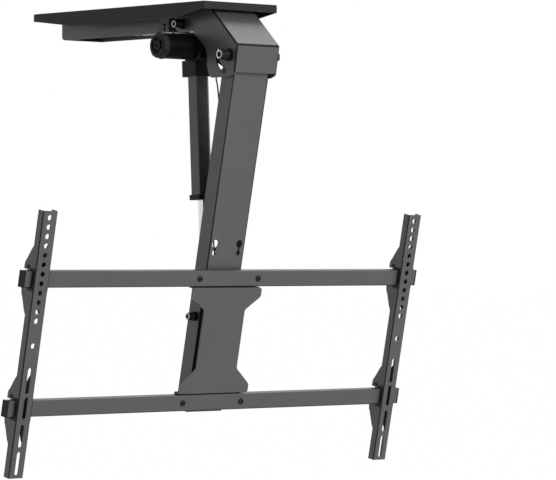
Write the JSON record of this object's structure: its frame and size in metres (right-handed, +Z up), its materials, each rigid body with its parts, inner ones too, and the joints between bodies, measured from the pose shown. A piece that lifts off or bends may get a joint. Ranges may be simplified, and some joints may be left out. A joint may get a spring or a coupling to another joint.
{
  "type": "motorised television ceiling mount",
  "caption": "Motorised flip-down ceiling mount: a ceiling plate, a hinged arm driven by a tube actuator, and two slotted screen brackets on cross rails.",
  "frame": {"origin": "centre of the ceiling plate's top face", "axes": "+X to the right along the rails, +Y backwards away from the screen side, +Z up to the ceiling"},
  "size_m": [0.861, 0.495, 0.7729],
  "materials": {
    "plate_paint": "fine-textured black powder coat",
    "frame_paint": "fine-textured black powder coat, slightly lighter",
    "black_steel": "black oxide",
    "bare_steel": "zinc plated",
    "grey_plastic": "matt silver grey",
    "board_laminate": "green laminate",
    "component_plastic": "satin",
    "black_plastic": "satin moulded",
    "lead_jacket": "satin jacket",
    "bronze": "sintered bronze",
    "red_window": "dark red gloss",
    "housing_alloy": "black painted die casting",
    "tube_finish": "black anodised",
    "seal_rubber": "matt",
    "motor_paint": "black paint",
    "magnet": "ferrite",
    "copper_winding": "enamelled copper on laminated steel",
    "polished_rod": "polished",
    "nut_plastic": "natural acetal",
    "wheel_plastic": "natural acetal"
  },
  "bodies": {
    "ceiling_unit": {"ceiling_plate": "plate_paint", "head_bracket": "frame_paint", "rear_channel": "frame_paint", "bracket_screws": "black_steel", "hinge_bolt": "black_steel", "hinge_nut": "black_steel", "hinge_washers": "black_steel", "actuator_bolt": "black_steel", "actuator_nut": "black_steel", "pivot_sleeves": "bare_steel", "control_box": "grey_plastic", "control_box_lid": "grey_plastic", "control_box_ends": "black_plastic", "control_box_screws": "black_steel", "circuit_board": "board_laminate", "board_parts": "component_plastic", "dc_inlet": "black_plastic", "lead_upper": "lead_jacket"},
    "left_bracket_body": {"left_bracket": "frame_paint", "left_retainers": "black_steel", "left_cross_pins": "black_steel", "left_lock_screws": "black_steel"},
    "right_bracket_body": {"right_bracket": "frame_paint", "right_retainers": "black_steel", "right_cross_pins": "black_steel", "right_lock_screws": "black_steel"},
    "arm": {"arm_channel": "frame_paint", "hinge_bushes": "bronze", "stop_pins": "black_steel", "interface_plate": "frame_paint", "top_rail": "frame_paint", "bottom_rail": "frame_paint", "rail_end_caps": "black_plastic", "rail_screws": "black_steel", "rail_nuts": "black_steel", "lower_pivot_studs": "black_steel", "lead_lower": "lead_jacket", "lead_clips": "black_plastic", "ir_receiver": "black_plastic", "ir_window": "red_window"},
    "actuator": {"gear_housing": "housing_alloy", "gear_housing_screws": "bare_steel", "rear_clevis": "bare_steel", "collar": "black_plastic", "actuator_tube": "tube_finish", "tube_end_cap": "black_plastic", "rod_seal": "seal_rubber", "screw_bearing": "bare_steel", "limit_switches": "component_plastic", "motor_can": "motor_paint", "motor_end_cap": "black_plastic", "motor_magnets": "magnet", "motor_armature": "copper_winding"},
    "rod": {"piston_rod": "polished_rod", "drive_nut": "nut_plastic", "rod_end": "bare_steel"},
    "screw": {"lead_screw": "bare_steel", "worm_wheel": "wheel_plastic"}
  },
  "joints": [
    {"name": "arm_fold", "type": "hinge", "parent": "ceiling_unit", "child": "arm", "pos_m": [0, -0.248, -0.0885], "axis": [1, 0, 0], "range_deg": [0, 78]},
    {"name": "left_slide", "type": "slide", "parent": "arm", "child": "left_bracket_body", "axis": [1, 0, 0], "range_m": [0, 0.3]},
    {"name": "right_slide", "type": "slide", "parent": "arm", "child": "right_bracket_body", "axis": [-1, 0, 0], "range_m": [0, 0.3]},
    {"name": "actuator_swing", "type": "hinge", "parent": "ceiling_unit", "child": "actuator", "pos_m": [-0.014, -0.1315, -0.033], "axis": [1, 0, 0], "range_deg": [0, 83.41]},
    {"name": "rod_slide", "type": "slide", "parent": "actuator", "child": "rod", "axis": [0, -0.0467, -0.9989], "range_m": [-0.1583, 0]},
    {"name": "screw_spin", "type": "hinge", "parent": "actuator", "child": "screw", "pos_m": [-0.014, -0.1315, -0.033], "axis": [0, -0.0467, -0.9989], "continuous": true}
  ],
  "couplings": [
    {"joint": "actuator_swing", "follows": "arm_fold", "ratio": 1.0687},
    {"joint": "rod_slide", "follows": "arm_fold", "m_per_rad": -0.11612},
    {"joint": "screw_spin", "follows": "arm_fold", "ratio": 145.93}
  ]
}
